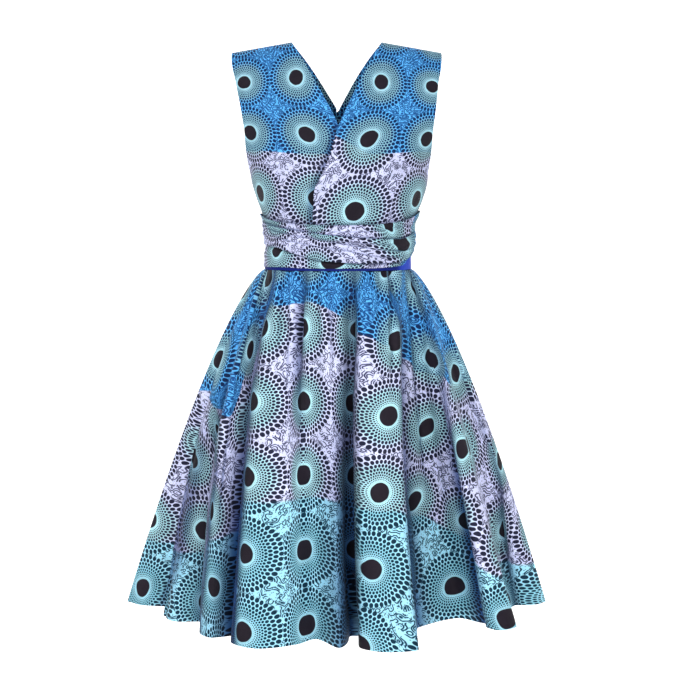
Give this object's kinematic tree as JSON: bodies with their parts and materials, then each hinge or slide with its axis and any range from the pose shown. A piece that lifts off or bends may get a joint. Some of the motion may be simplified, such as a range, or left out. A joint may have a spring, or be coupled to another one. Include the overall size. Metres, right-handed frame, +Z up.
{
  "type": "sleeveless wax print dress",
  "caption": "Sleeveless knee-length dress, worn and hollow: crossed V-neck bodice, waistband, wound sash and full gathered skirt",
  "frame": {"origin": "Between the two shoulder seams at mean shoulder height, where the wearer holds the dress up", "axes": "+X the viewer's right (the wearer's left), +Y towards the dress's back, +Z up"},
  "size_m": [0.72, 0.6059, 0.95],
  "materials": {
    "bodice_cotton": "printed plain-weave cotton with a slight wax sheen",
    "band_cotton": "printed plain-weave cotton, deep blue",
    "sash_cotton": "printed plain-weave cotton, lilac ground",
    "skirt_cotton": "printed plain-weave cotton, blue, lilac and aqua bands"
  },
  "bodies": {
    "root": {"bodice_front_left": "bodice_cotton", "bodice_front_right": "bodice_cotton", "bodice_back": "bodice_cotton", "waistband": "band_cotton", "sash_lower_wrap": "sash_cotton", "sash_upper_wrap": "sash_cotton", "sash_crossing_stretch": "sash_cotton", "skirt_front": "skirt_cotton", "skirt_back": "skirt_cotton"}
  },
  "joints": []
}
